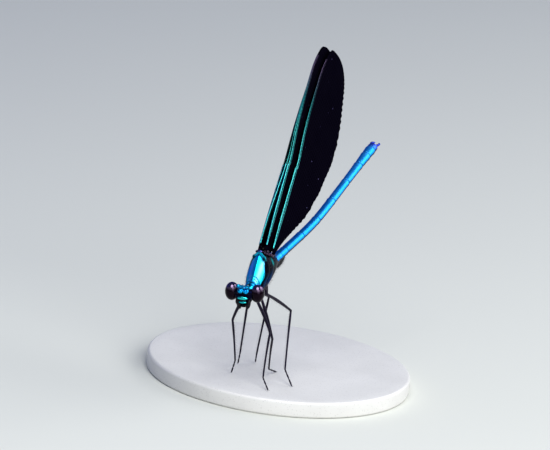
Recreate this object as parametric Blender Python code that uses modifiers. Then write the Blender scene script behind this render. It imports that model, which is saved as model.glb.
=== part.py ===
"""A male broad-winged damselfly standing on a round display base, life size.

The insect is modelled in its own body frame: +X to its left, +Y to its tail, +Z to its back, with the
middle of the winged thorax at the origin. An empty holds that frame over the base, tail up.
World +Z is up, the head points to world -Y, and the world origin is the middle of the base's underside.
All sizes below are in millimetres.
"""

import math

import bmesh
import bpy
import numpy as np
from mathutils import Euler, Matrix, Vector

MM = 0.001
GAP = 0.06  # clear space between neighbouring pieces

# Base and stance
BASE_RADIUS = 20.0
BASE_THICKNESS = 2.5
BASE_CHAMFER = 0.4
BODY_FORWARD = 11.0  # the thorax stands this far in front of the base's middle
BODY_HEIGHT = 17.1  # middle of the thorax above the base's top
TAIL_UP = 15.0  # degrees, the abdomen's rise from level

# Head, in its own frame: +X left, +Y to the rear, +Z up, the middle between the eyes at the origin
HEAD_PLACE = (0.05, -6.35, -0.67)
HEAD_TURN = (-16.5, -2.0, 10.5)  # degrees: nod, tilt and turn against the body
EYE_APART = 1.98  # from the head's middle plane to each eye's middle
EYE_RADII = (1.04, 1.2, 1.33)
HEAD_HALF_WIDTH = 1.75
FEELER_LENGTH = 2.6
FEELER_THICK = 0.5

# Thorax
NECK_FRONT = -5.35
PROTHORAX_REAR = -3.78
THORAX_FRONT = -3.7
THORAX_REAR = 4.7

# Abdomen: ten rings and the claspers
ABDOMEN_START = (0.0, 4.78, -0.56)
RING_LENGTHS = (0.9, 2.1, 5.8, 5.7, 5.5, 5.2, 4.7, 2.7, 1.7, 0.95)
RING_RADII = (0.72, 0.74, 0.62, 0.60, 0.60, 0.60, 0.62, 0.66, 0.72, 0.72, 0.64)  # at each joint
CLASPER_LENGTH = 1.45

# Wings, each a plate about its hinge line
WING_THICK = 0.45
WING_STATIONS = 26
WING_ROOT_CLEAR = 0.5  # the plate starts this far out from its hinge
FOREWING_LENGTH = 32.2
FOREWING_HINGE = (0.58, -0.1, 3.25)
FOREWING_ANGLES = (47.3, 0.35, 2.0)  # degrees: rise from the body's axis, lean inwards, trailing edge out
HINDWING_LENGTH = 32.2
HINDWING_HINGE = (1.14, 0.5, 2.4)
HINDWING_ANGLES = (46.1, -0.3, 6.0)
# How far the edges stand from the hinge line, at shares of the wing's length
LEAD_AT = (0, 0.05, 0.15, 0.30, 0.42, 0.55, 0.70, 0.82, 0.92, 0.97, 1.0)
LEAD_BY = (0.45, 0.6, 0.95, 1.2, 1.35, 1.9, 2.45, 2.6, 2.15, 1.4, 0.0)
TRAIL_AT = (0, 0.03, 0.08, 0.16, 0.24, 0.36, 0.49, 0.61, 0.72, 0.825, 0.92, 0.97, 1.0)
FOREWING_TRAIL = (0.5, 0.9, 2.0, 3.9, 5.6, 7.7, 8.8, 8.8, 7.9, 6.2, 3.9, 2.2, 0.0)
HINDWING_TRAIL = (0.5, 0.8, 1.7, 3.4, 5.1, 7.5, 9.0, 9.3, 8.4, 6.6, 4.1, 2.3, 0.0)

# Legs: hip, knee, ankle and toe, from the middle of the thorax, level with the floor
# (+X left, +Y to the tail, +Z straight up)
LEG_JOINTS = {
    "fore_left": ((0.80, -3.44, -3.41), (3.10, -1.60, -8.93), (3.50, -3.20, -15.55), (4.92, -4.09)),
    "fore_right": ((-0.80, -3.44, -3.41), (-3.43, -1.02, -8.48), (-2.62, -0.09, -14.94), (-3.05, 0.01)),
    "mid_left": ((1.05, -1.95, -3.53), (3.13, -0.45, -10.15), (1.60, 3.30, -16.10), (1.90, 5.60)),
    "mid_right": ((-1.05, -1.95, -3.53), (-3.26, 3.65, -7.09), (-3.73, 4.20, -14.86), (-4.30, 5.20)),
    "hind_left": ((1.25, -0.43, -3.43), (2.70, 6.55, -7.33), (4.90, 1.65, -15.05), (6.85, 0.45)),
    "hind_right": ((-1.25, -0.43, -3.43), (-1.41, 7.28, -6.21), (-1.90, 6.30, -15.20), (-2.60, 7.90)),
}
COXA_RISES = {"fore": 0.38, "mid": 0.5, "hind": 0.8}  # from the hip up to the body
COXA_RADIUS = 0.45
FEMUR_RADII = (0.30, 0.36, 0.30)
TIBIA_RADII = (0.27, 0.25)
TARSUS_RADIUS = 0.25
JOINT_CLEAR = 0.36  # from a joint's middle to the end of each piece that meets there


def clear_scene():
    for thing in list(bpy.data.objects):
        bpy.data.objects.remove(thing)


def new_collection(name):
    made = bpy.data.collections.new(name)
    bpy.context.scene.collection.children.link(made)
    return made


def new_material(name, color, roughness, metallic):
    """A Principled material with one colour, for instance blue metallic shell."""
    made = bpy.data.materials.new(name)
    made.use_nodes = True
    shader = made.node_tree.nodes["Principled BSDF"]
    shader.inputs["Base Color"].default_value = (*color, 1.0)
    shader.inputs["Roughness"].default_value = roughness
    shader.inputs["Metallic"].default_value = metallic
    made.diffuse_color = (*color, 1.0)
    return made


clear_scene()
PART = new_collection("damselfly")
CUTTERS = new_collection("cutters")
BLUE_SHELL = new_material("blue_metallic_shell", (0.01, 0.22, 0.55), 0.28, 0.9)
BLACK_SHELL = new_material("black_shell", (0.012, 0.010, 0.018), 0.35, 0.2)
EYE_DARK = new_material("compound_eye", (0.03, 0.008, 0.015), 0.18, 0.0)
WING_BLACK = new_material("black_wing", (0.008, 0.008, 0.03), 0.4, 0.3)
BASE_WHITE = new_material("pale_base", (0.75, 0.75, 0.73), 0.45, 0.0)

BODY = bpy.data.objects.new("body_frame", None)
BODY.empty_display_size = 4 * MM
BODY.location = (0, -BODY_FORWARD * MM, (BASE_THICKNESS + BODY_HEIGHT) * MM)
BODY.rotation_euler = (math.radians(TAIL_UP), 0, 0)
PART.objects.link(BODY)

HEAD = bpy.data.objects.new("head_frame", None)
HEAD.empty_display_size = 2 * MM
HEAD.parent = BODY
HEAD.location = Vector(HEAD_PLACE) * MM
HEAD.rotation_euler = Euler([math.radians(angle) for angle in HEAD_TURN], "XYZ")
PART.objects.link(HEAD)


def place(name, data, material, parent=BODY, collection=PART):
    """One named object with its material, in the frame of parent."""
    made = bpy.data.objects.new(name, data)
    made.parent = parent
    data.materials.append(material)
    collection.objects.link(made)
    return made


def add_mesh(name, points, faces, material, parent=BODY):
    """A mesh object from points in millimetres, shaded smooth, with its faces turned outwards."""
    mesh = bpy.data.meshes.new(name)
    mesh.from_pydata([tuple(point) for point in np.asarray(points) * MM], [], faces)
    shaped = bmesh.new()
    shaped.from_mesh(mesh)
    bmesh.ops.recalc_face_normals(shaped, faces=shaped.faces)
    shaped.to_mesh(mesh)
    shaped.free()
    mesh.shade_smooth()
    return place(name, mesh, material, parent)


def loft(name, rings, material, parent=BODY):
    """A closed skin over rings of points of equal number, with a flat cap on each end."""
    rings = np.asarray(rings)
    count, around = rings.shape[:2]
    faces = []
    for i in range(count - 1):
        for j in range(around):
            k = (j + 1) % around
            faces.append((i * around + j, i * around + k, (i + 1) * around + k, (i + 1) * around + j))
    faces.append(tuple(range(around)))
    faces.append(tuple((count - 1) * around + j for j in range(around)))
    return add_mesh(name, rings.reshape(-1, 3), faces, material, parent)


def tube(name, path, radii, material, parent=BODY, resolution=2):
    """A round rod along path, a poly spline with a radius at each point and filled caps."""
    curve = bpy.data.curves.new(name, "CURVE")
    curve.dimensions = "3D"
    curve.bevel_depth = MM
    curve.bevel_resolution = resolution
    curve.use_fill_caps = True
    spline = curve.splines.new("POLY")
    spline.points.add(len(path) - 1)
    for point, place_mm, radius in zip(spline.points, path, radii):
        point.co = (*(Vector(place_mm) * MM), 1.0)
        point.radius = radius
    return place(name, curve, material, parent)


def ellipsoid(name, middle, radii, material, parent=BODY, collection=PART, segments=20, rings=12):
    mesh = bpy.data.meshes.new(name)
    shaped = bmesh.new()
    bmesh.ops.create_uvsphere(shaped, u_segments=segments, v_segments=rings, radius=MM)
    size = Matrix.Diagonal((*radii, 1.0))
    bmesh.ops.transform(shaped, matrix=Matrix.Translation(Vector(middle) * MM) @ size, verts=shaped.verts)
    shaped.to_mesh(mesh)
    shaped.free()
    mesh.shade_smooth()
    return place(name, mesh, material, parent, collection)


def cut(target, cutter):
    """Takes cutter's shape out of target and keeps the cutter as a hidden helper."""
    cutter.hide_render = True
    cutter.display_type = "WIRE"
    modifier = target.modifiers.new(f"cut_{cutter.name}", "BOOLEAN")
    modifier.operation = "DIFFERENCE"
    modifier.object = cutter


def oval_ring(middle, across, up, half_width, half_height, power, around):
    """Points of a squarish oval: |a|^power + |b|^power = 1 along the directions across and up."""
    angle = np.linspace(0, 2 * math.pi, around, endpoint=False)
    cosine, sine = np.cos(angle), np.sin(angle)
    a = np.sign(cosine) * np.abs(cosine) ** (2 / power) * half_width
    b = np.sign(sine) * np.abs(sine) ** (2 / power) * half_height
    return np.asarray(middle) + a[:, None] * np.asarray(across) + b[:, None] * np.asarray(up)


def body_ring(y, top, bottom, half_width, power=2.4, around=20, taper=0.0):
    """A section of the trunk at y, between its top and bottom, narrowed by taper towards its top."""
    middle = (0, y, (top + bottom) / 2)
    ring = oval_ring(middle, (1, 0, 0), (0, 0, 1), half_width, (top - bottom) / 2, power, around)
    ring[:, 0] *= 1 - taper * ((ring[:, 2] - bottom) / (top - bottom)) ** 2
    return ring


def build_head():
    """The head capsule: a side profile carried across the head, drawn in at its sides and at the mouth."""
    profile = np.array(
        [(0.1, 1.12), (-0.75, 0.85), (-1.3, 0.2), (-1.55, -0.5), (-1.25, -1.3), (-0.75, -1.95)]
        + [(-0.2, -2.35), (0.35, -1.7), (0.85, -0.7), (0.9, 0.3), (0.6, 0.85)]
    )
    sides = np.sin(np.linspace(-1, 1, 15) * math.pi / 2 * 0.97)
    rings = []
    for side in sides:
        scale = (1 - abs(side) ** 2.6) ** (1 / 2.6)
        flat = profile * scale
        reach = HEAD_HALF_WIDTH * np.interp(flat[:, 1], (-2.0, -1.1, -0.5), (0.78, 0.84, 1.0))
        rings.append([(side * x, y, z) for x, (y, z) in zip(reach, flat)])
    head = loft("head", rings, BLUE_SHELL, HEAD)
    for side, label in ((1, "left"), (-1, "right")):
        middle = (side * EYE_APART, 0, 0)
        ellipsoid(f"eye_{label}", middle, EYE_RADII, EYE_DARK, HEAD)
        larger = [radius + GAP for radius in EYE_RADII]
        socket = ellipsoid(f"socket_{label}", middle, larger, EYE_DARK, HEAD, CUTTERS, 24, 14)
        cut(head, socket)
        root = np.array((side * 0.5, -1.22, 0.62))
        way = np.array((side * 0.42, -0.70, 0.58))
        way /= np.linalg.norm(way)
        start = root + way * 0.35
        path = [start, start + way * FEELER_LENGTH * 0.5, start + way * FEELER_LENGTH]
        tube(f"antenna_{label}", path, [FEELER_THICK / 2] * 3, BLACK_SHELL, HEAD)


def build_trunk():
    """The neck with the prothorax, and behind it the leaning box of the winged thorax."""
    neck = [
        body_ring(NECK_FRONT, -0.85, -1.35, 0.30, 2.0, 16),
        body_ring(NECK_FRONT + 0.45, -0.62, -1.55, 0.50, 2.0, 16),
        body_ring(-4.65, -0.22, -1.95, 0.88, 2.2, 16),
        body_ring(-4.25, -0.10, -2.05, 0.98, 2.2, 16),
        body_ring(PROTHORAX_REAR, -0.15, -1.95, 0.88, 2.2, 16),
    ]
    loft("prothorax", neck, BLUE_SHELL)
    along = (THORAX_FRONT, -3.3, -2.8, -2.2, -1.6, -1.2, -0.75, -0.2, 0.7, 1.7, 2.7, 3.5, 4.2, THORAX_REAR)
    top_at = (THORAX_FRONT, -3.3, -1.2, -0.75, 0.2, 2.7, 4.2, THORAX_REAR)
    top = np.interp(along, top_at, (0.0, 0.55, 3.5, 3.42, 2.85, 1.5, 0.45, 0.12))
    bottom_at = (THORAX_FRONT, -2.8, -0.9, 0.7, 1.7, 3.5, THORAX_REAR)
    bottom = np.interp(along, bottom_at, (-1.9, -2.45, -2.45, -1.85, -1.45, -1.1, -1.08))
    width_at = (THORAX_FRONT, -2.8, -1.2, 1.0, 2.7, 4.2, THORAX_REAR)
    half_width = np.interp(along, width_at, (0.95, 1.55, 1.9, 1.85, 1.45, 0.9, 0.7))
    taper = np.interp(along, (THORAX_FRONT, -2.2, -0.75, 2.7, THORAX_REAR), (0.15, 0.42, 0.48, 0.3, 0.1))
    rings = []
    for y, high, low, wide, narrowing in zip(along, top, bottom, half_width, taper):
        rings.append(body_ring(y, high, low, wide, taper=narrowing))
    loft("thorax", rings, BLUE_SHELL)


def abdomen_path(count=160):
    """The abdomen's middle line: points along its length, and how far along each lies.

    Its slope against the body starts a little down, rises along the middle rings and droops at the tip.
    """
    total = sum(RING_LENGTHS) + CLASPER_LENGTH
    along = np.linspace(0, total, count)
    rise = np.clip((along - 8) / 12, 0, 1)
    droop = np.clip((along - 31) / 6, 0, 1)
    slope = np.radians(-4.0 + 11.0 * rise**2 * (3 - 2 * rise) - 9.0 * droop**2)
    step = along[1] - along[0]
    y = ABDOMEN_START[1] + np.concatenate([[0], np.cumsum(np.cos(slope[:-1]) * step)])
    z = ABDOMEN_START[2] + np.concatenate([[0], np.cumsum(np.sin(slope[:-1]) * step)])
    return along, y, z


def build_abdomen():
    along, y, z = abdomen_path()
    joints = np.concatenate([[0], np.cumsum(RING_LENGTHS)])

    def at(distance):
        return (0.0, float(np.interp(distance, along, y)), float(np.interp(distance, along, z)))

    for i, (start, end) in enumerate(zip(joints[:-1], joints[1:])):
        stations = np.linspace(start + GAP / 2, end - GAP / 2, 3 if end - start < 2 else 4)
        radii = np.interp(stations, joints, RING_RADII)
        tube(f"abdomen_{i + 1:02d}", [at(s) for s in stations], radii, BLUE_SHELL, resolution=4)
    lobe_middle = np.array(at(joints[1] + 0.9)) + (0, 0, -RING_RADII[1] - 0.42 - GAP)
    ellipsoid("genital_lobe", lobe_middle, (0.42, 1.05, 0.40), BLACK_SHELL, segments=14, rings=8)
    rear = np.array(at(joints[-1] + GAP))
    for side, label in ((1, "left"), (-1, "right")):
        bow = [(0.34, 0.1, 0.18), (0.62, 0.5, 0.2), (0.62, 1.0, 0.12), (0.36, CLASPER_LENGTH, 0.0)]
        path = [rear + (side * x, out, up) for x, out, up in bow]
        tube(f"clasper_{label}", path, (0.24, 0.24, 0.22, 0.2), BLACK_SHELL)
        low = [rear + (side * 0.3, 0.1, -0.36), rear + (side * 0.34, 0.8, -0.42)]
        tube(f"lower_clasper_{label}", low, (0.2, 0.16), BLACK_SHELL)


def build_wing(name, length, hinge, angles, trail_by, side):
    """A flat outline with its thickness, standing on its hinge along the wing's rise."""
    share = (1 - np.cos(np.linspace(0, math.pi, WING_STATIONS))) / 2
    lead = np.interp(share, LEAD_AT, LEAD_BY)
    trail = np.interp(share, TRAIL_AT, trail_by)
    along = share * length
    keep = along > WING_ROOT_CLEAR
    outline = [(a, -b) for a, b in zip(along[keep], lead[keep])]
    outline += [(a, b) for a, b in zip(along[keep][-2::-1], trail[keep][-2::-1])]
    curve = bpy.data.curves.new(name, "CURVE")
    curve.dimensions = "2D"
    curve.fill_mode = "BOTH"
    curve.extrude = WING_THICK / 2 * MM
    spline = curve.splines.new("POLY")
    spline.points.add(len(outline) - 1)
    for point, (a, b) in zip(spline.points, outline):
        point.co = (a * MM, b * MM, 0, 1)
    spline.use_cyclic_u = True
    wing = place(name, curve, WING_BLACK)
    rise, inward, opened = (math.radians(angle) for angle in angles)
    level = math.cos(inward)
    out = Vector((-side * math.sin(inward), math.cos(rise) * level, math.sin(rise) * level))
    back = Vector((0, math.sin(rise), -math.cos(rise)))
    aside = out.cross(back) * (1 if out.cross(back).x * side > 0 else -1)
    back = back * math.cos(opened) + aside * math.sin(opened)
    turned = Matrix((out, back, out.cross(back))).transposed().to_4x4()
    wing.matrix_local = Matrix.Translation(Vector((side * hinge[0], hinge[1], hinge[2])) * MM) @ turned


def build_wings():
    fore = (FOREWING_LENGTH, FOREWING_HINGE, FOREWING_ANGLES, FOREWING_TRAIL)
    hind = (HINDWING_LENGTH, HINDWING_HINGE, HINDWING_ANGLES, HINDWING_TRAIL)
    for side, label in ((1, "left"), (-1, "right")):
        build_wing(f"forewing_{label}", *fore, side)
        build_wing(f"hindwing_{label}", *hind, side)


def between(start, end, clear_start, clear_end):
    """The two ends of a piece that stops short of each joint."""
    start, end = Vector(start), Vector(end)
    way = (end - start).normalized()
    return start + way * clear_start, end - way * clear_end


def build_legs():
    stance = bpy.data.objects.new("stance_frame", None)
    stance.empty_display_size = 4 * MM
    stance.location = BODY.location
    PART.objects.link(stance)
    up = Vector((0, -math.sin(math.radians(TAIL_UP)), math.cos(math.radians(TAIL_UP))))
    for leg, (hip, knee, ankle, toe) in LEG_JOINTS.items():
        top = Vector(hip) + up * COXA_RISES[leg.split("_")[0]]
        low = Vector(hip) + up * GAP
        tube(f"coxa_{leg}", (low, top), (COXA_RADIUS * 0.8, COXA_RADIUS), BLACK_SHELL, stance)
        start, end = between(hip, knee, JOINT_CLEAR, JOINT_CLEAR)
        thick = start.lerp(end, 0.4)
        tube(f"femur_{leg}", (start, thick, end), FEMUR_RADII, BLACK_SHELL, stance)
        start, end = between(knee, ankle, JOINT_CLEAR * 0.5, JOINT_CLEAR * 0.6)
        tube(f"tibia_{leg}", (start, end), TIBIA_RADII, BLACK_SHELL, stance)
        sole = Vector((toe[0], toe[1], -BODY_HEIGHT + GAP))
        start, end = between(ankle, sole, JOINT_CLEAR * 0.6, 0)
        heel = sole + Vector((0, 0, 0.35))
        tube(f"tarsus_{leg}", (start, heel, sole), [TARSUS_RADIUS] * 3, BLACK_SHELL, stance)


def build_base():
    """A plain round plate with chamfered edges, its underside at the origin."""
    mesh = bpy.data.meshes.new("stand_base")
    shaped = bmesh.new()
    bmesh.ops.create_cone(
        shaped,
        cap_ends=True,
        segments=72,
        radius1=BASE_RADIUS * MM,
        radius2=BASE_RADIUS * MM,
        depth=BASE_THICKNESS * MM,
    )
    bmesh.ops.translate(shaped, verts=shaped.verts, vec=(0, 0, BASE_THICKNESS / 2 * MM))
    shaped.to_mesh(mesh)
    shaped.free()
    base = bpy.data.objects.new("stand_base", mesh)
    mesh.materials.append(BASE_WHITE)
    PART.objects.link(base)
    bevel = base.modifiers.new("chamfer", "BEVEL")
    bevel.width = BASE_CHAMFER * MM
    bevel.segments = 2
    bevel.limit_method = "ANGLE"


build_base()
build_legs()
build_head()
build_trunk()
build_abdomen()
build_wings()
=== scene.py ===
"""A male broad-winged damselfly, life size, standing on a round display base.

Sizes are in millimetres and angles in degrees. The insect has a frame of its own, X to its left, Y to its tail
and Z to its back, from the middle of its winged thorax. Its points are turned and lifted into the shared frame
before they become meshes. Pattern scales are in cells for each metre.
"""

import bpy
import numpy as np
from mathutils import Matrix


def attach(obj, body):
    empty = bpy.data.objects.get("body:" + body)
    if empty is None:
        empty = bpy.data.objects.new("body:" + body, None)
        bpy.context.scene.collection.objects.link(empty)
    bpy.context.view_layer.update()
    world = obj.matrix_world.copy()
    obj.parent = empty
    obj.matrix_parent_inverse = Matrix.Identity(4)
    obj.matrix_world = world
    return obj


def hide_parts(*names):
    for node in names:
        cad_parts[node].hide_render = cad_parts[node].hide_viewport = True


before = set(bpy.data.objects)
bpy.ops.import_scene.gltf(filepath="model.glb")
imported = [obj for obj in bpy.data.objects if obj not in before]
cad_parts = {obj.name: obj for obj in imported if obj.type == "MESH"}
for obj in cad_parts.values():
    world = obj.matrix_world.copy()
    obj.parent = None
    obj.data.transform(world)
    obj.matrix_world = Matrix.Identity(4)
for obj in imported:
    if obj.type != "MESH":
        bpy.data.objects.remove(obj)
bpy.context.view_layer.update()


# The display base is a round plate of cast resin with a mineral filler, ground flat and waxed to a satin.
# Its edges are eased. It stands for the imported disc, with a rounder rim.
MM = 0.001
BASE_RADIUS = 20.0
BASE_THICK = 2.5
BASE_EDGE = 0.4
BASE_HUB = 0.4  # where the flats start, and a fan closes them to the middle
BASE_AROUND = 180
CLOUD_SCALE = 130.0
SPECK_SCALE = 2600.0
GRINDING_SCALE = 3000.0


def linear(hex_colour):
    """The linear colour of an sRGB hex value, each channel put through the sRGB curve."""
    channels = np.array([int(hex_colour[i : i + 2], 16) for i in (1, 3, 5)]) / 255
    curve = np.where(channels <= 0.04045, channels / 12.92, ((channels + 0.055) / 1.055) ** 2.4)
    return (*curve.tolist(), 1.0)


def add_node(material, kind, inputs=None, out=0, **settings):
    """One output of a new node with its settings, each input linked from a socket or set to a value."""
    node = material.node_tree.nodes.new("ShaderNode" + kind)
    for key, value in settings.items():
        setattr(node, key, value)
    for key, value in (inputs or {}).items():
        if isinstance(value, bpy.types.NodeSocket):
            material.node_tree.links.new(value, node.inputs[key])
        else:
            node.inputs[key].default_value = value
    return node.outputs[out]


def new_material(name, **values):
    """A Principled material, its shader with the values that hold all over it, and its Object coordinates."""
    material = bpy.data.materials.new(name)
    material.use_nodes = True
    shader = material.node_tree.nodes["Principled BSDF"]
    for key, value in values.items():
        shader.inputs[key.replace("_", " ")].default_value = value
    return material, shader, add_node(material, "TexCoord", out="Object")


def dress(shader, **sources):
    """Links sockets to the shader's inputs of those names."""
    for key, socket in sources.items():
        shader.id_data.links.new(socket, shader.inputs[key.replace("_", " ")])


def shade(material, name):
    """The socket of a shade attribute."""
    return add_node(material, "Attribute", out="Fac", attribute_name=name)


def blend(material, share, first, second):
    """Two colours, each a hex value or a socket, blended by a socket or by the shade attribute of that name."""
    share = shade(material, share) if isinstance(share, str) else share
    first, second = (linear(colour) if isinstance(colour, str) else colour for colour in (first, second))
    return add_node(material, "Mix", {0: share, 6: first, 7: second}, 2, data_type="RGBA")


def circle(around):
    """Cosines and sines of equal steps round a circle."""
    angle = np.arange(around) / around * 2 * np.pi
    return np.cos(angle), np.sin(angle)


def with_poles(rings):
    """The rings' points as one list, with the middle of the first and of the last ring put at its end."""
    rings = np.asarray(rings, float)
    return np.concatenate([rings.reshape(-1, rings.shape[-1]), rings[:1].mean(1), rings[-1:].mean(1)])


def shell(rings):
    """A closed surface: quads from ring to ring of points, and a fan from each end ring to its middle.

    The faces are turned round where the volume that they enclose comes out negative.
    """
    rings = np.asarray(rings, float)
    rows, around = rings.shape[:2]
    points = with_poles(rings)
    here = np.arange(rows * around).reshape(rows, around)
    beside = np.roll(here, -1, axis=1)
    quads = np.stack([here[:-1], beside[:-1], beside[1:], here[1:]], -1).reshape(-1, 4)
    start = np.stack([beside[0], here[0], np.full(around, rows * around)], -1)
    end = np.stack([here[-1], beside[-1], np.full(around, rows * around + 1)], -1)
    corners = points[np.concatenate([quads[:, :3], quads[:, [0, 2, 3]], start, end])]
    if np.einsum("ij,ij", np.cross(corners[:, 0], corners[:, 1]), corners[:, 2]) < 0:
        quads, start, end = quads[:, ::-1], start[:, ::-1], end[:, ::-1]
    return points, quads.tolist() + start.tolist() + end.tolist()


def add_object(name, data):
    """A new object of the scene, at the origin."""
    thing = bpy.data.objects.new(name, data)
    bpy.context.scene.collection.objects.link(thing)
    return thing


def add_piece(name, shape, material, stands_for=(), maps=None, shades=None):
    """A smooth mesh object at the origin, with a body and the CAD nodes that it stands for.

    A UV map is given for each point or, like a shade attribute, for the rings that made the shell.
    """
    points, faces = shape
    mesh = bpy.data.meshes.new(name)
    mesh.from_pydata((points * MM).tolist(), [], faces)
    mesh.shade_smooth()
    mesh.materials.append(material)
    corners = np.empty(len(mesh.loops), np.int32)
    mesh.loops.foreach_get("vertex_index", corners)
    for label, places in (maps or {}).items():
        places = with_poles(places) if places.ndim == 3 else places
        mesh.uv_layers.new(name=label).data.foreach_set("uv", places.astype(np.float32)[corners].ravel())
    for label, values in (shades or {}).items():
        values = with_poles(values[..., None]).astype(np.float32)
        mesh.attributes.new(label, "FLOAT", "POINT").data.foreach_set("value", values.ravel())
    piece = add_object(name, mesh)
    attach(piece, "root")
    if stands_for:
        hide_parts(*stands_for)


# Cast resin, waxed: a pale warm grey body with faint clouds of filler, mineral specks about 0.2 mm across, and
# a satin skin with grinding marks about 0.3 mm apart.
resin, shader, place = new_material(
    "waxed_cast_resin", Specular_IOR_Level=0.45, Coat_Weight=0.08, Coat_Roughness=0.3
)
cloud = add_node(resin, "TexNoise", {"Vector": place, "Scale": CLOUD_SCALE, "Detail": 4.0})
speck = add_node(resin, "TexVoronoi", {"Vector": place, "Scale": SPECK_SCALE})
speck = add_node(resin, "MapRange", {"Value": speck, "From Min": 0.06, "From Max": 0.26})
grinding = add_node(resin, "TexNoise", {"Vector": place, "Scale": GRINDING_SCALE, "Detail": 2.0})
dress(
    shader,
    Base_Color=blend(resin, speck, "#B8B6B0", blend(resin, cloud, "#C6C5BF", "#DDDCD6")),
    Roughness=add_node(resin, "MapRange", {"Value": grinding, "To Min": 0.36, "To Max": 0.52}),
    Normal=add_node(resin, "Bump", {"Height": grinding, "Strength": 0.12, "Distance": 0.00004}),
)

ease = np.linspace(0, np.pi / 2, 7)
rim_out = BASE_RADIUS - BASE_EDGE + BASE_EDGE * np.sin(ease)
rim_up = BASE_EDGE - BASE_EDGE * np.cos(ease)
flat_out = np.linspace(BASE_HUB, BASE_RADIUS - BASE_EDGE, 12)[:-1]
flat_up = 0 * flat_out
profile_out = np.concatenate([flat_out, rim_out, rim_out[::-1], flat_out[::-1]])[:, None]
profile_up = np.concatenate([flat_up, rim_up, BASE_THICK - rim_up[::-1], flat_up + BASE_THICK])[:, None]
cosine, sine = circle(BASE_AROUND)
base_rings = np.stack([profile_out * cosine, profile_out * sine, profile_up + 0 * sine], axis=-1)
add_piece("display_base", shell(base_rings), resin, ["stand_base"])


# The winged thorax is one stiff box of dark cuticle that leans back. Its two front plates are metallic blue
# and meet in a raised keel; sutures mark off the side plates, which are black with a painted sheen: a band of
# deep blue metal.
BODY_PLACE = (0.0, -11.0, 19.6)
TAIL_UP = 15.0
THORAX_ROWS = 210
THORAX_AROUND = 200
THORAX_ENDS = (-3.72, 4.72)
ROW_EASE = 1.25  # over 1, so that the rows are closer together in front
# The outline: places along the body, and the top, the bottom, the half width and the top's narrowing there
TOP = (
    (-3.72, -3.3, -2.3, -1.4, -1.05, -0.75, 0.2, 1.4, 2.7, 4.2, 4.72),
    (0.0, 0.52, 1.93, 3.15, 3.46, 3.40, 2.85, 2.2, 1.4, 0.12, -0.2),
)
BOTTOM = ((-3.72, -2.8, -0.9, 0.7, 1.7, 3.5, 4.72), (-1.9, -2.43, -2.35, -1.62, -1.28, -1.05, -0.95))
WIDE = ((-3.72, -2.8, -1.2, 1.0, 2.7, 4.2, 4.72), (0.93, 1.5, 1.86, 1.8, 1.3, 0.62, 0.4))
TAPER = ((-3.72, -2.2, -0.75, 2.7, 4.72), (0.15, 0.42, 0.48, 0.3, 0.1))
SQUARENESS = 2.4
# The shoulder suture: heights, and how far back it lies at each
SHOULDER = ((-1.2, -0.37, 0.04, 1.61, 2.82, 3.5), (-3.35, -2.87, -2.4, -1.67, -1.08, -0.98))
SUTURE_STEPS = (0.0, 1.2, 2.65)  # the three sutures of each side, behind the shoulder one
SUTURE_WIDE = 0.055
SUTURE_DEEP = 0.05
KEEL_WIDE = 0.075
KEEL_HIGH = 0.06
HOLLOW_WIDE = 1.3
HOLLOW_DEEP = 0.15
RIM_BACK = -3.46
RIM_HIGH = 0.035
CREST_BACK = -1.0
CREST_SWEEP = 0.15
CREST_HIGH = 0.12
CORNER_HIGH = 0.17
SPOT_AT = (0.62, 1.35)


def eased(at, xs, ys):
    """A smooth curve through points: cubic pieces whose slope at each point is the mean of its neighbours'."""
    xs, ys = np.asarray(xs, float), np.asarray(ys, float)
    slopes = np.gradient(ys, xs)
    i = np.clip(np.searchsorted(xs, at, side="right") - 1, 0, len(xs) - 2)
    span = xs[i + 1] - xs[i]
    t = np.clip((at - xs[i]) / span, 0, 1)
    near = (1 + 2 * t) * (1 - t) ** 2 * ys[i] + t * (1 - t) ** 2 * span * slopes[i]
    return near + t * t * (3 - 2 * t) * ys[i + 1] + t * t * (t - 1) * span * slopes[i + 1]


def step_up(value, low, high):
    """0 below low, 1 above high, and a smooth rise between them."""
    t = np.clip((value - low) / (high - low), 0, 1)
    return t * t * (3 - 2 * t)


def hump(value, wide):
    """A bell that is 1 where value is 0 and fades over wide."""
    return np.exp(-((value / wide) ** 2))


def turned(points, angles):
    """Points turned about X, then about Y, then about Z."""
    points = np.array(points, float)
    for axis, angle in enumerate(np.radians(angles)):
        first, second = points[..., (axis + 1) % 3].copy(), points[..., (axis + 2) % 3].copy()
        points[..., (axis + 1) % 3] = np.cos(angle) * first - np.sin(angle) * second
        points[..., (axis + 2) % 3] = np.sin(angle) * first + np.cos(angle) * second
    return points


def on_body(points):
    """From the insect's own frame to the shared one."""
    return turned(points, (TAIL_UP, 0, 0)) + BODY_PLACE


def oval(around, squareness):
    """Points round a squarish oval: its two coordinates, each to the power squareness, add up to 1."""
    return [np.sign(part) * np.abs(part) ** (2 / squareness) for part in circle(around)]


def body_section(y, top, bottom, wide, taper, around, squareness=SQUARENESS):
    """Squarish ovals across the body, from top to bottom and wide to each side, narrowed towards the back."""
    across, up = oval(around, squareness)
    z = (top + bottom)[:, None] / 2 + (top - bottom)[:, None] / 2 * up
    x = wide[:, None] * across * (1 - taper[:, None] * ((up + 1) / 2) ** 2)
    return np.stack([x, y[:, None] + 0 * z, z], axis=-1)


def outward(rings):
    """Unit normals of a grid of points, from its steps along and across, away from each ring's middle."""
    along = np.gradient(rings, axis=0)
    across = np.roll(rings, -1, axis=1) - np.roll(rings, 1, axis=1)
    normal = np.cross(along, across)
    normal /= np.linalg.norm(normal, axis=-1, keepdims=True) + 1e-12
    return normal * np.sign(np.sum(normal * (rings - rings.mean(1, keepdims=True)), axis=-1, keepdims=True))


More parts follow.
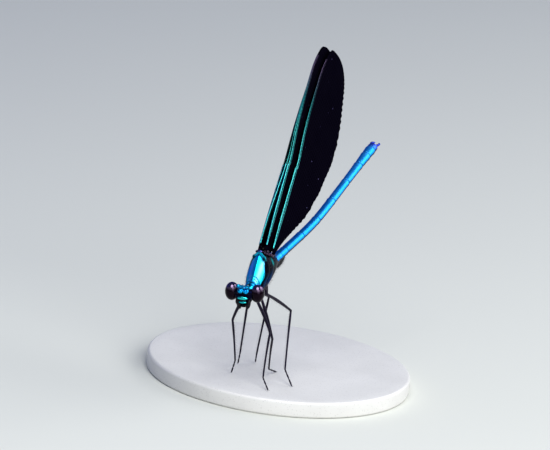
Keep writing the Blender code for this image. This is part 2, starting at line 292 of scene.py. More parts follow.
station = THORAX_ENDS[0] + (THORAX_ENDS[1] - THORAX_ENDS[0]) * np.linspace(0, 1, THORAX_ROWS) ** ROW_EASE
thorax = body_section(station, *(eased(station, *curve) for curve in (TOP, BOTTOM, WIDE, TAPER)), THORAX_AROUND)
x, y, z = np.moveaxis(thorax, -1, 0)
aside = np.abs(x)
behind = y - eased(z, *SHOULDER)  # distance behind the shoulder suture
# Each mark below is a hump or a step, with its place and its width in millimetres
past_crest = y - CREST_BACK + CREST_SWEEP * aside
front = step_up(-behind, -0.02, 0.1)
slope = step_up(z, -1.3, -0.7) * step_up(-y, 0.98, 1.12)
on_side = step_up(aside, 0.35, 0.6) * step_up(z, -2.3, -1.7)
above_rim = step_up(z, -1.0, -0.6)
sutures = sum(hump(behind - back, SUTURE_WIDE) for back in SUTURE_STEPS)
crest = hump(past_crest, 0.085) * step_up(z, 2.2, 2.6)
under_crest = hump(past_crest + 0.27, 0.09) * step_up(z, 2.0, 2.5)
corner = hump(aside - 0.86, 0.26) * hump(z - 2.72, 0.34) * hump(y + 1.2, 0.5)
hollow = np.sin(np.pi * np.clip(aside / HOLLOW_WIDE, 0, 1)) * slope * step_up(-behind, 0, 0.3)
relief = KEEL_HIGH * hump(x, KEEL_WIDE) * slope * step_up(z, 0, 0.3)
relief += CREST_HIGH * crest + CORNER_HIGH * corner + RIM_HIGH * hump(y - RIM_BACK, 0.075) * above_rim
relief += (0.06 * hump(behind - 0.62, 0.4) + 0.07 * hump(behind - 1.95, 0.5) - SUTURE_DEEP * sutures) * on_side
relief -= 0.07 * hump(y + 0.74, 0.12) * step_up(z, 2.0, 2.6) + 0.05 * under_crest
relief -= HOLLOW_DEEP * hollow + 0.03 * hump(y - RIM_BACK - 0.18, 0.05) * above_rim
thorax = thorax + outward(thorax) * relief[..., None]
plate = front * slope * step_up(aside, 0.02, 0.09) * (1 - 0.9 * under_crest) * (1 - 0.5 * hump(y + 3.29, 0.05))
plate = plate * (1 - np.clip(1.3 * corner, 0, 0.95)) * (1 - 0.8 * hump(behind, 0.1))
plate = np.maximum(plate, 0.25 * crest)
# A painted sheen: a band of dark navy metal low on each side plate, where the side shows a sheen.
painted_side_sheen = step_up(behind, 0.3, 0.55) * (1 - step_up(behind, 2.2, 2.6)) * step_up(z, -1.7, -0.9) * on_side
painted_side_sheen *= 0.7 * (1 - hump(behind - SUTURE_STEPS[1], 0.22)) * (1 - step_up(z, -0.7, 0.8))
spot = hump(y - SPOT_AT[0], 0.24) * hump(z - SPOT_AT[1], 0.42) * on_side
spot = np.maximum(spot, 0.7 * hump(past_crest - 0.04, 0.07) * step_up(z, 2.2, 2.6))
# A painted highlight: the middle of each front plate is made lighter, pale cyan.
painted_highlight = plate * hump(aside - 0.62 - 0.14 * z, 0.3) * step_up(z, -0.9, 0.1)
metal = np.clip(plate + painted_side_sheen + spot, 0, 1)

# Metallic cuticle: a stack of clear layers over black pigment, so the colour is in the highlight and there is
# none beneath it. Pits about 0.05 mm across are too fine for the render, so they are drawn at 0.12 mm.
PIT_SCALE = 1000 / 0.12
DRIFT_SCALE = 900.0
BLACK = "#050409"
SKY_TINT = linear("#2458F0")


def cuticle(name, roughness, dark, light, grain=0.25, **values):
    """A metallic cuticle with a pitted bump, its shader, and the socket of its colour.

    Colour and roughness drift with a noise, the colour from dark to light.
    """
    material, shader, place = new_material(name, **{"Metallic": 1.0, **values})
    drift = add_node(material, "TexNoise", {"Vector": place, "Scale": DRIFT_SCALE, "Detail": 3.0})
    rough = {"Value": drift, "To Min": roughness - 0.06, "To Max": roughness + 0.08}
    pits = add_node(material, "TexVoronoi", {"Vector": place, "Scale": PIT_SCALE})
    bump = {"Height": pits, "Strength": grain, "Distance": 0.00003}
    colour = blend(material, drift, dark, light)
    rough, bump = add_node(material, "MapRange", rough), add_node(material, "Bump", bump)
    dress(shader, Base_Color=colour, Roughness=rough, Normal=bump)
    return material, shader, colour


gloss = {"Specular_Tint": SKY_TINT, "Specular_IOR_Level": 0.05}
thorax_metal, shader, blue = cuticle("thorax_cuticle", 0.34, "#0A74EA", "#18DCC8", **gloss)
# The painted highlight lightens the front plates' middles to pale cyan.
blue = blend(thorax_metal, "painted_highlight", blue, "#6CC0EC")
# Side plates: black, with the painted sheen band in dark navy metal, and teal spots.
dark = blend(thorax_metal, "spot", blend(thorax_metal, "painted_side_sheen", BLACK, "#0E3C5C"), "#18B8B0")
dress(shader, Base_Color=blend(thorax_metal, "plate", dark, blue), Metallic=shade(thorax_metal, "metal"))
shades = {"plate": plate, "painted_side_sheen": painted_side_sheen, "spot": spot, "painted_highlight": painted_highlight, "metal": metal}
add_piece("thorax_shell", shell(on_body(thorax)), thorax_metal, ["thorax"], shades=shades)


# The prothorax is the small collar between head and winged thorax: a slim neck, a front rim, two swellings
# on its back and a flared hind lobe. It is black with blue metallic swellings.
COLLAR_AT = (-5.5, -5.15, -4.97, -4.86, -4.6, -4.3, -4.08, -3.97, -3.82, -3.66)
COLLAR_OUTLINE = (  # top, bottom and half width at each of those places
    (-0.82, -0.72, -0.42, -0.5, -0.22, -0.05, -0.16, 0.0, 0.06, -0.1),
    (-1.3, -1.45, -1.6, -1.66, -1.88, -1.98, -1.97, -1.98, -1.95, -1.88),
    (0.26, 0.4, 0.62, 0.66, 0.86, 0.97, 0.9, 0.97, 0.98, 0.84),
)
COLLAR_TAPER = 0.12
COLLAR_SQUARENESS = 2.1
COLLAR_ROWS = 90
COLLAR_AROUND = 100
SWELLING_HIGH = 0.1

station = np.linspace(COLLAR_AT[0], COLLAR_AT[-1], COLLAR_ROWS)
outline = [eased(station, COLLAR_AT, curve) for curve in COLLAR_OUTLINE]
collar = body_section(station, *outline, 0 * station + COLLAR_TAPER, COLLAR_AROUND, COLLAR_SQUARENESS)
x, y, z = np.moveaxis(collar, -1, 0)
above = step_up(z, -0.9, -0.6)
swelling = hump(np.abs(x) - 0.46, 0.24) * hump(y + 4.36, 0.2) * above
rear_lobe = hump(y + 3.86, 0.12) * step_up(z, -0.7, -0.4)
collar = collar + outward(collar) * (SWELLING_HIGH * swelling)[..., None]
plate = np.clip(swelling * 1.6 + 0.7 * rear_lobe + 0.6 * hump(y + 4.9, 0.09) * above, 0, 1)

# Collar cuticle: as on the thorax, a little smoother, so its swellings have crisp bright blue highlights.
gloss = {"Specular_Tint": SKY_TINT, "Specular_IOR_Level": 0.1}
collar_metal, shader, blue = cuticle("collar_cuticle", 0.32, "#1060E0", "#22C8EA", **gloss)
dress(shader, Base_Color=blend(collar_metal, "plate", BLACK, blue), Metallic=shade(collar_metal, "plate"))
collar = shell(on_body(collar))
add_piece("prothorax_shell", collar, collar_metal, ["prothorax"], shades={"plate": plate})


# The head is a short wide capsule that carries the eyes at its ends. The crown and the two swellings of the
# brow are metallic blue; a black band parts them from the face plates.
HEAD_PLACE = (0.05, -6.35, -0.67)
HEAD_TURN = (-16.5, -2.0, 10.5)
HEAD_HALF = 1.75
HEAD_ROWS = 130
HEAD_AROUND = 180
HEAD_SQUARENESS = 2.6
# Angles run from the crown, 0, over the brow, 90, to the throat, 180, and up the back of the head
SIDE_ANGLE = (-95, -35, -5, 41, 72, 93, 112, 136, 160, 176, 195, 230, 265)
SIDE_REACH = (0.97, 1.03, 1.08, 1.12, 1.27, 1.16, 1.2, 1.42, 1.66, 1.72, 1.5, 1.1, 0.97)
# Swellings and hollows: place across, on both sides unless it is 0, angle, spread and height
HEAD_BUMPS = (
    (0.0, 64, 0.13, -0.08),
    (0.0, 33, 0.15, 0.09),
    (0.0, 48, 0.12, -0.04),
    (0.42, 65, 0.29, 0.33),
    (0.5, 38, 0.16, -0.09),
    (0.42, 2, 0.17, 0.09),
    (1.1, 4, 0.32, 0.3),
    (0.0, 12, 0.3, -0.05),
)
BAND_ANGLE = 93
BAND_DEEP = 0.07


def on_head(points):
    """From the head's own frame, from the middle between the eyes, to the shared one."""
    return on_body(turned(points, HEAD_TURN) + HEAD_PLACE)


def ellipsoid(middle, radii, rows, around, squareness=2.0):
    """Rings of an ellipsoid about its X axis; a squareness over 2 swells its corners."""
    turn = np.linspace(-1, 1, rows + 2)[1:-1, None] * np.pi / 2
    lift = np.cos(turn) ** (2 / squareness)
    a, b = oval(around, squareness)
    return np.stack([np.sin(turn) + 0 * a, lift * a, lift * b], axis=-1) * radii + middle


across = np.sin(np.linspace(-1, 1, HEAD_ROWS)[:, None] * np.pi / 2 * 0.985)
angle = np.linspace(SIDE_ANGLE[0], SIDE_ANGLE[-1], HEAD_AROUND, endpoint=False)
shrink = (1 - np.abs(across) ** HEAD_SQUARENESS) ** (1 / HEAD_SQUARENESS)
reach = eased(angle, SIDE_ANGLE, SIDE_REACH) * shrink
far = across * HEAD_HALF
aside = np.abs(far)
for at_x, at_angle, spread, height in HEAD_BUMPS:
    for side in (1, -1) if at_x else (1,):
        arc = np.radians(angle - at_angle) * reach
        reach = reach + height * hump(far - side * at_x, spread) * hump(arc, spread)
reach = reach - BAND_DEEP * hump(angle - BAND_ANGLE, 6.0) * (1 - step_up(aside, 1.0, 1.3))
head_z = reach * np.cos(np.radians(angle))
head_y = -reach * np.sin(np.radians(angle))
head_x = far * np.interp(head_z, (-1.7, -1.0, -0.4), (0.74, 0.8, 1.0))
# Each mark below is a hump or a step, with its place and its width in millimetres or in degrees
lower_edge = 84 - 30 * step_up(aside, 0.55, 1.05)  # the blue ends higher up towards the eyes
swell = np.hypot(aside - 0.42, 1.25 * np.radians(angle - 65))
dimple = hump(far, 0.12) * hump(angle - 60, 14)
seam = hump(aside - 0.66 - 0.004 * (angle - 30), 0.06) * (1 - step_up(angle, 48, 62))
brow = step_up(angle, 22, 40) * step_up(aside + 0.008 * (angle - 50), 0.8, 1.0)
socket = hump(aside - 0.52, 0.2) * hump(angle - 38, 9)
centre = hump(far, 0.42) * hump(angle - 12, 16)
crown = step_up(angle, -30, -16) * (1 - step_up(angle, 40, 50)) * step_up(lower_edge - angle, -3, 5)
crown = crown * (1 - brow) * (1 - 0.85 * dimple) * (1 - 0.7 * seam) * (1 - 0.9 * socket) * (1 - 0.6 * centre)
crown = np.maximum(crown, (1 - step_up(swell, 0.34, 0.46)) * (1 - 0.9 * hump(far, 0.07)))

# Head cuticle: the smoothest of the blues, so its highlights are small and run to cyan.
gloss = {"Specular_Tint": SKY_TINT, "Specular_IOR_Level": 0.14}
head_metal, shader, blue = cuticle("head_cuticle", 0.26, "#0A58E8", "#20DCEC", **gloss)
dress(shader, Base_Color=blend(head_metal, "crown", BLACK, blue), Metallic=shade(head_metal, "crown"))
capsule = shell(on_head(np.stack([head_x, head_y, head_z], axis=-1)))
add_piece("head_shell", capsule, head_metal, ["head"], shades={"crown": crown})


# The face below the brow: the wide upper clypeus and the labrum are metallic turquoise plates, with a narrow
# black clypeus between them, and black jaws and lower lip behind. All are hinged on soft seams.
TURQUOISE_PLATES = {  # middle, radii and squareness
    "upper_clypeus": ((0.0, -1.16, -0.57), (0.8, 0.42, 0.27), 2.8),
    "labrum": ((0.0, -1.0, -1.24), (0.6, 0.33, 0.19), 2.4),
}
BLACK_PLATES = {
    "lower_clypeus": ((0.0, -1.08, -0.92), (0.62, 0.34, 0.16), 2.6),
    "lip_plate": ((0.0, -0.2, -1.93), (0.5, 0.62, 0.25), 2.4),
}
# The black mouth parts of each side are bent tapering lobes: their middle lines and radii
MOUTH_LOBES = {
    "jaws": (
        ((0.9, -0.3, -0.7), (0.9, -0.62, -1.1), (0.76, -0.86, -1.5), (0.36, -0.95, -1.78)),
        (0.28, 0.32, 0.28, 0.14),
    ),
    "inner_jaws": (((0.8, -0.2, -1.2), (0.8, -0.5, -1.7), (0.58, -0.74, -2.1)), (0.26, 0.27, 0.16)),
    "lip_lobes": (((0.62, 0.25, -1.5), (0.66, -0.15, -1.98), (0.5, -0.55, -2.4)), (0.26, 0.29, 0.17)),
}


def joined(shells):
    """Several closed surfaces as one list of points and one of faces."""
    faces, first = [], 0
    for points, own in shells:
        faces += [[corner + first for corner in face] for face in own]
        first += len(points)
    return np.concatenate([points for points, own in shells]), faces


def unit(vectors):
    """Vectors with each one's length made 1."""
    return vectors / np.linalg.norm(vectors, axis=-1, keepdims=True)


def hoops(ways, guide, around):
    """Circles of radius 1, each square to its way; they start square to the guide too."""
    side = unit(np.cross(ways, guide))
    cosine, sine = circle(around)
    return cosine[:, None] * side[:, None] + sine[:, None] * np.cross(ways, side)[:, None]


def tube(path, radii, around=12):
    """Rings across a path: each stands square to the path's way there, with the radius given there."""
    ways = unit(np.gradient(path, axis=0))
    guide = np.eye(3)[np.argmin(np.abs(ways).max(axis=0))]
    return path[:, None] + hoops(ways, guide, around) * radii[:, None, None]


# Face plates: smooth metallic cuticle, turquoise in its highlight. Black cuticle: full of soot-black pigment
# and finely grained, so that only a dim soft highlight shows its shape.
face_metal = cuticle("face_plate_cuticle", 0.24, "#14A8C8", "#3CE8C8", Specular_Tint=linear("#2060FF"))[0]
gloss = {"Metallic": 0.0, "Specular_IOR_Level": 0.12}
black_metal = cuticle("black_cuticle", 0.38, "#030204", "#08060B", 0.3, **gloss)[0]
for plates, grid, material, slot in (
    (TURQUOISE_PLATES, (40, 48), face_metal, "head_cuticle"),
    (BLACK_PLATES, (30, 40), black_metal, "black_cuticle"),
):
    for name, (middle, radii, squareness) in plates.items():
        add_piece(name, shell(on_head(ellipsoid(middle, radii, *grid, squareness))), material)
mouth_lobes = []
for name, (bend, radii) in MOUTH_LOBES.items():
    share = (1 - np.cos(np.linspace(0.06, 1, 26) * np.pi)) / 2
    marks = np.linspace(0, 1, len(bend))
    path = np.stack([eased(share, marks, np.array(bend)[:, k]) for k in range(3)], axis=-1)
    ends = np.sqrt(np.clip(1 - (2 * share - 1) ** 8, 0.02, 1))
    lobes = [tube(path * (side, 1, 1), eased(share, marks, radii) * ends, 28) for side in (1, -1)]
    add_piece(name, joined([shell(on_head(lobe)) for lobe in lobes]), black_metal)
    mouth_lobes += lobes


# Each compound eye is a dome of thousands of lenses, very dark red-brown, with a violet-brown top that is
# painted a lighter lilac where the highlight falls: a painted highlight. A real lens is about 0.03 mm across,
# and is drawn at 0.09 mm, so that it shows.
EYE_APART = 1.98
EYE_UP = 0.06
EYE_RADII = (1.04, 1.2, 1.39)
LENS_SCALE = 1000 / 0.09
PATCH_SCALE = 700.0
SIDES = ((1, "left"), (-1, "right"))

# The lenses give a hard wet highlight. The upper part is lilac metal, partly the eye's own violet-brown and
# partly a painted highlight, lightest at the top and front where the light strikes.
eye_gloss, shader, place = new_material(
    "compound_eye", Specular_Tint=linear("#E6C6FF"), Specular_IOR_Level=0.09, IOR=1.5
)
lens = add_node(eye_gloss, "TexVoronoi", {"Vector": place, "Scale": LENS_SCALE})
lens = {"Height": lens, "Strength": 0.12, "Distance": 0.00002}
patch = add_node(eye_gloss, "TexNoise", {"Vector": place, "Scale": PATCH_SCALE, "Detail": 2.0})
upper = {0: shade(eye_gloss, "upper"), 1: 1.7}
dress(
    shader,
    Base_Color=blend(eye_gloss, "upper", blend(eye_gloss, patch, "#050204", "#0C0407"), "#7A6882"),
    Metallic=add_node(eye_gloss, "Math", upper, operation="MULTIPLY", use_clamp=True),
    Roughness=add_node(eye_gloss, "MapRange", {"Value": patch, "To Min": 0.08, "To Max": 0.15}),
    Normal=add_node(eye_gloss, "Bump", lens, invert=True),
)
for side, label in SIDES:
    dome = ellipsoid((side * EYE_APART, 0, EYE_UP), EYE_RADII, 56, 72)
    # upper: lighter towards the top and front of the eye, where the highlight falls, so this is a painted
    # highlight.
    shades = {"upper": step_up(dome[..., 2] - 0.25 * dome[..., 1], 0.62, 1.5)}
    name = f"compound_eye_{label}"
    add_piece(name, shell(on_head(dome)), eye_gloss, [f"eye_{label}"], shades=shades)


# Three simple eyes sit in a triangle on the crown. Each is a single clear lens of amber cuticle, domed like a
# bead and set in a small swelling of the crown.
# Place across, angle, radius and reach from the head's axis
SIMPLE_EYES = ((0.0, 33, 0.09, 1.17), (0.42, 2, 0.1, 1.12), (-0.42, 2, 0.1, 1.12))
AMBER_SCALE = 5000.0

# Amber lens: clear and glassy, brown in its depth.
amber, shader, place = new_material("amber_lens", Roughness=0.08, Coat_Weight=0.5, IOR=1.5)
depth = add_node(amber, "TexNoise", {"Vector": place, "Scale": AMBER_SCALE})
dress(shader, Base_Color=blend(amber, depth, "#3A2010", "#8A5E2C"))
lenses = []
for at_x, at_angle, radius, out in SIMPLE_EYES:
    middle = (at_x, -out * np.sin(np.radians(at_angle)), out * np.cos(np.radians(at_angle)))
    lenses.append(shell(on_head(ellipsoid(middle, (radius,) * 3, 12, 16))))
add_piece("simple_eyes", joined(lenses), amber)


# The feelers are short: two stout joints at the root, then a fine bristle that tapers over 2.6 mm. They are
# black cuticle, set in soft sockets beside the brow.
FEELER_ROOT = (0.5, -1.22, 0.62)
FEELER_WAY = (0.42, -0.70, 0.58)
FEELER_AT = (0.0, 0.1, 0.22, 0.3, 0.5, 0.58, 0.66, 1.5, 2.92)
FEELER_THICK = (0.06, 0.08, 0.075, 0.05, 0.06, 0.05, 0.035, 0.025, 0.01)
FEELER_SAG = (0, 0, 0.024)

for side, label in SIDES:
    out = np.linspace(0, FEELER_AT[-1], 48)
    way = unit(np.array(FEELER_WAY) * (side, 1, 1))
    path = np.array(FEELER_ROOT) * (side, 1, 1) + out[:, None] * way - (out**2)[:, None] * FEELER_SAG
    feeler = shell(on_head(tube(path, np.interp(out, FEELER_AT, FEELER_THICK))))
    add_piece(f"feeler_{label}", feeler, black_metal, [f"antenna_{label}"])


# The abdomen is a slim jointed tube of ten rings, each telescoped a little into the next. Its back is a
# smooth metallic blue, its underside black, and the last rings have a violet tone.
ABDOMEN_START = (0.0, 4.78, -0.56)
ABDOMEN_INSIDE = (-1.1, -0.7, -0.3)  # the tube starts inside the thorax
SLOPE_START = -4.0
SLOPE_RISE = 11.0
SLOPE_DROOP = 9.0
RING_LENGTHS = (0.9, 2.1, 5.8, 5.7, 5.5, 5.2, 4.7, 2.7, 1.7, 0.95)
RING_RADII = (0.72, 0.75, 0.70, 0.70, 0.69, 0.68, 0.66, 0.70, 0.78, 0.80, 0.72)
CLASPER_LENGTH = 1.45
RING_ROWS = 26
ABDOMEN_AROUND = 72
JOINT_DEEP = 0.075
LIP_HIGH = 0.035
ring_joints = np.concatenate([[0], np.cumsum(RING_LENGTHS)])


def abdomen_line(at):
    """The middle line's points at distances along it.

    Its slope against the body starts a little down, rises along the middle rings and droops at the tip.
    """
    fine = np.linspace(-1.2, ring_joints[-1] + CLASPER_LENGTH, 600)
    droop = np.clip((fine - 31) / 6, 0, 1) ** 2
    slope = np.radians(SLOPE_START + SLOPE_RISE * step_up(fine, 8, 20) - SLOPE_DROOP * droop)
    step = fine[1] - fine[0]
    y, z = np.cumsum(np.cos(slope)) * step, np.cumsum(np.sin(slope)) * step
    y += ABDOMEN_START[1] - np.interp(0, fine, y)
    z += ABDOMEN_START[2] - np.interp(0, fine, z)
    return np.stack([0 * at, np.interp(at, fine, y), np.interp(at, fine, z)], axis=-1)


share = (1 - np.cos(np.linspace(0, np.pi, RING_ROWS + 1))[:-1]) / 2
stations = (ring_joints[:-1, None] + share * np.diff(ring_joints)[:, None]).ravel()
stations = np.concatenate([ABDOMEN_INSIDE, stations, [ring_joints[-1]]])
nearest = np.abs(stations[:, None] - ring_joints[1:-1]).min(axis=1)
passed = np.searchsorted(ring_joints, stations + 1e-6, side="right")
bounds = np.concatenate([[-9], ring_joints, [99]])
past, ahead = stations - bounds[passed], bounds[passed + 1] - stations
radius = np.interp(stations, ring_joints, RING_RADII)
radius += LIP_HIGH * hump(ahead - 0.25, 0.3) - JOINT_DEEP * hump(nearest, 0.07) - 0.02 * hump(past - 0.3, 0.35)
abdomen = tube(abdomen_line(stations), radius, ABDOMEN_AROUND)
below = abdomen_line(stations)[:, None, 2] - abdomen[..., 2]
under = step_up(below / radius[:, None], -0.22, 0.12)
abdomen[..., 2] += 0.06 * under * radius[:, None]
joint = hump(nearest, 0.075)[:, None] + 0 * under
tip = step_up(stations, 33.6, 35.3)[:, None] + 0 * under

# Abdomen cuticle: as on the thorax, but rougher, so one broad blue highlight runs along its back.
gloss = {"Specular_Tint": linear("#2C80F8"), "Specular_IOR_Level": 0.1}
abdomen_metal, shader, blue = cuticle("abdomen_cuticle", 0.42, "#1896EA", "#40AAF0", 0.22, **gloss)
blue = blend(abdomen_metal, "under", blend(abdomen_metal, "tip", blue, "#4A5CD8"), BLACK)
on_back = {0: 1.0, 1: shade(abdomen_metal, "under")}
on_back = add_node(abdomen_metal, "Math", on_back, operation="SUBTRACT")
dress(shader, Base_Color=blend(abdomen_metal, "joint", blue, "#0A2A66"), Metallic=on_back)
nodes = [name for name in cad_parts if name.startswith("abdomen_")]
shades = {"under": under, "joint": joint, "tip": tip}
add_piece("abdomen_shell", shell(on_body(abdomen)), abdomen_metal, nodes, shades=shades)


# Under the second ring hangs the male's lobe, dull black. At the tip two upper claspers bow round like
# tongs, with a violet-blue gloss, and two short straight black ones lie below them. All are hard cuticle.
LOBE_RADII = (1.75, 0.46, 0.62)
LOBE_BACK = 0.35
LOBE_DROP = 0.24
UPPER_THICK = ((0, 0.2, 0.9, 1.25, CLASPER_LENGTH), (0.16, 0.2, 0.17, 0.13, 0.05))
LOWER_THICK = ((-0.05, 0.1, 0.6, 0.8), (0.12, 0.16, 0.11, 0.04))

lobe_middle = abdomen_line(ring_joints[1] + LOBE_BACK) + (0, 0, -RING_RADII[1] - LOBE_DROP)
lobe = ellipsoid((0, 0, 0), LOBE_RADII, 40, 40, 2.2)[..., [1, 0, 2]] + lobe_middle
lobe[..., 2] += 0.3 * step_up(lobe[..., 1], lobe_middle[1] - 1.2, lobe_middle[1] + 1.6) - 0.14
add_piece("genital_hood", shell(on_body(lobe)), black_metal, ["genital_lobe"])

# Clasper cuticle: grainy and nearly metallic, so its violet-blue highlight is broad and soft.
gloss = {"Metallic": 0.85, "Specular_Tint": SKY_TINT, "Specular_IOR_Level": 0.12}
clasper_metal = cuticle("clasper_cuticle", 0.4, "#202C90", "#4658D8", 0.3, **gloss)[0]
upper_at, lower_at = np.linspace(0, CLASPER_LENGTH, 30), np.linspace(-0.05, 0.8, 20)
bow = eased(upper_at, (0, 0.45, 0.95, 1.25, CLASPER_LENGTH), (0.32, 0.56, 0.6, 0.44, 0.3))
upper = np.stack([bow, upper_at, eased(upper_at, (0, 0.5, 1, CLASPER_LENGTH), (0.16, 0.2, 0.12, 0))], axis=-1)
lower = np.stack([0.28 + 0.06 * lower_at, lower_at, 0.05 * lower_at**2 - 0.36], axis=-1)
for side, label in SIDES:
    for name, node, line, thick, around, material in (
        ("upper_clasper", "clasper", upper, np.interp(upper_at, *UPPER_THICK), 20, clasper_metal),
        ("under_clasper", "lower_clasper", lower, np.interp(lower_at, *LOWER_THICK), 16, black_metal),
    ):
        clasper = shell(on_body(tube(line * (side, 1, 1) + abdomen_line(ring_joints[-1]), thick, around)))
        add_piece(f"{name}_{label}", clasper, material, [f"{node}_{label}"])


# Between the wings the back is a row of small humped plates, and each wing turns on a cluster of brown-violet
# hinge plates. All are thin domed cuticle, set edge to edge in soft membrane.
BACK_PLATES = (  # middles and radii
    ((0.0, -0.8, 3.56), (0.44, 0.26, 0.2)),
    ((0.0, -0.1, 3.0), (0.32, 0.4, 0.2)),
    ((0.0, 0.62, 2.66), (0.42, 0.36, 0.2)),
    ((0.0, 1.3, 2.3), (0.34, 0.34, 0.16)),
    ((0.0, 2.0, 1.92), (0.5, 0.5, 0.16)),
)
HINGE_PLATES = (
    ((0.36, -0.62, 3.44), (0.15, 0.4, 0.16)),
    ((0.6, -0.42, 3.2), (0.16, 0.44, 0.2)),
    ((0.46, 0.05, 3.24), (0.12, 0.42, 0.22)),
    ((0.8, -0.08, 2.9), (0.16, 0.42, 0.2)),
    ((0.64, 0.5, 2.98), (0.14, 0.4, 0.24)),
    ((0.94, 0.4, 2.6), (0.17, 0.46, 0.22)),
    ((1.1, 0.72, 2.42), (0.12, 0.4, 0.26)),
    ((1.16, 1.1, 2.1), (0.16, 0.44, 0.22)),
    ((0.98, 1.3, 2.2), (0.14, 0.36, 0.2)),
    ((0.92, 1.9, 1.78), (0.2, 0.5, 0.16)),
)
HINGE_LONG = (1.0, 1.4, 0.9)
HINGE_TILT = -32.0  # they lie along the slope of the back
HINGE_SPLAY = 9.0
FOLD_MIDDLE = (0.0, 0.95, 2.95)
FOLD_RADII = (0.5, 1.15, 0.5)

# The hinge plates are coarse and brown-violet, with a broad dull highlight. The back plates are smoother, and
# slate blue in theirs.
hinge_metal = cuticle("hinge_plate_cuticle", 0.4, "#261A2A", "#553C58", 0.5)[0]
back_metal = cuticle("back_plate_cuticle", 0.3, "#223070", "#7080DC")[0]
plates = [shell(on_body(ellipsoid(middle, radii, 18, 24))) for middle, radii in BACK_PLATES]
add_piece("back_plates", joined(plates), back_metal)
plates = []
for middle, radii in HINGE_PLATES:
    dome = ellipsoid((0, 0, 0), np.multiply(radii, HINGE_LONG), 18, 24, 2.6)
    for side in (1, -1):
        plate = turned(dome, (HINGE_TILT, 0, side * HINGE_SPLAY)) + np.array(middle) * (side, 1, 1)
        plates.append(shell(on_body(plate)))
add_piece("wing_hinge_plates", joined(plates), hinge_metal)
fold = turned(ellipsoid((0, 0, 0), FOLD_RADII, 24, 36), (HINGE_TILT, 0, 0)) + FOLD_MIDDLE
add_piece("wing_root_fold", shell(on_body(fold)), black_metal)


# Each wing is a stiff pleated membrane, velvety black, hardly thicker than its veins. It stands on its hinge
# plates with the leading edge forward, pressed against its neighbours over the back.
# The edges, in front of and behind the middle line, at shares of the length
LEAD = (
    (0, 0.05, 0.15, 0.30, 0.41, 0.44, 0.55, 0.68, 0.80, 0.88, 1.0),
    (0.45, 0.6, 0.95, 1.2, 1.34, 1.42, 2.1, 2.55, 2.7, 2.75, 2.4),
)
TRAIL_AT = (0, 0.03, 0.08, 0.16, 0.24, 0.36, 0.49, 0.61, 0.72, 0.825, 0.88, 1.0)
TRAIL_BY = {
    "forewing": (1.4, 2.4, 3.2, 4.4, 5.7, 7.7, 8.8, 8.9, 8.4, 7.7, 7.3, 6.6),
    "hindwing": (0.5, 0.9, 1.9, 4.0, 6.2, 8.0, 9.1, 9.3, 8.4, 6.9, 6.1, 4.8),
}
WINGS = {
    # name: length, hinge, angles (rise, lean inwards, trailing edge out), and how far in front of the wing's
    # middle line its tip lies
    "forewing": (32.5, (0.58, -0.1, 3.25), (47.5, 0.6, 2.0), 0.2),
    "hindwing": (32.45, (1.2, 0.95, 2.25), (46.9, -0.1, 6.0), 1.2),
}
# How far the right wings are bent towards the left ones, at shares of their length
PRESS_AT = (0.0, 0.1, 0.42, 0.6, 1.0)
PRESS_BY = {"forewing": (0.0, 0.06, 0.42, 0.38, 0.2), "hindwing": (0.0, 0.02, 0.1, 0.2, 0.55)}
ROUND_TIP = 0.85  # the share of the length where the tip starts to round off
TIP_BLUNT = 2.35
WING_ROWS = 230
WING_ACROSS = 90
WING_HALF_THICK = 0.022
CAMBER = 0.1
SCALLOP = 0.85  # from one scallop of the trailing edge to the next
SCALLOP_DEEP = 0.045
PLEAT = 0.62  # from one long vein to the next
PLEAT_DEEP = 0.055
CELL = 0.5  # from one cross vein to the next
ROW_SHIFT = 0.37  # how far the cross veins of one row stand past those of the row before, in cells
VEIN_FAN = 0.011  # how fast the long veins curve back to the trailing edge
NODE_AT = 0.42  # the share of the length where the leading edge has its notch
NODE_JOG = 0.2
BAND_WIDE = 0.54  # the front strip of three stout veins
BAND_BY = ((0, 0.03, 0.09, 0.42, 0.7, 1.0), (0.2, 0.3, 0.85, 1.0, 0.85, 0.5))
BAND_ENDS = (0.03, 0.945)
BAND_ROWS = 640
BAND_ACROSS = 22
BAND_RIBS = ((0.0, 1.0, 0.12), (0.46, 0.75, 0.09), (0.96, 1.0, 0.1))  # place across, height and width
BAND_HALF_THICK = 0.026
RIB_HIGH = 0.045


def wing_sheet(side, hinge, angles, along, behind, lift, half_thick):
    """A closed sheet of a wing: along its outer face, and back along its inner one.

    Each point is the hinge moved out along the wing, back across it, and off its plane by the lift, plus or
    minus half the thickness.
    """
    rise, inward, opened = np.radians(angles)
    out = np.array([-side * np.sin(inward), np.cos(rise) * np.cos(inward), np.sin(rise) * np.cos(inward)])
    back = np.array([0, np.sin(rise), -np.cos(rise)])
    aside = np.cross(out, back)
    back = back * np.cos(opened) + aside * np.sign(aside[0] * side) * np.sin(opened)
    off = np.cross(out, back)
    off *= np.sign(off[0] * side)
    flat = np.array(hinge) * (side, 1, 1) + along[..., None] * out + behind[..., None] * back
    outer, inner = (flat + (lift + way * half_thick)[..., None] * off for way in (1, -1))
    return shell(on_body(np.concatenate([outer, inner[:, ::-1]], axis=1)))


def doubled(grid):
    """A grid of values for both faces of a sheet, the inner face's in turn."""
    return np.concatenate([grid, grid[:, ::-1]], axis=1)


def tip_round(share):
    """The share of the wing's width that is left in the tip: t and it, each to a power, add up to 1."""
    t = np.clip((share - ROUND_TIP) / (1 - ROUND_TIP), 0, 1)
    return (1 - t**TIP_BLUNT) ** (1 / TIP_BLUNT)


def vein_lines(along, behind_lead):
    """The pleats' own coordinate: distance behind the leading edge, less a bend that grows with the way out."""
    return behind_lead - VEIN_FAN * along**2 * (1 - 0.35 * along / 32)


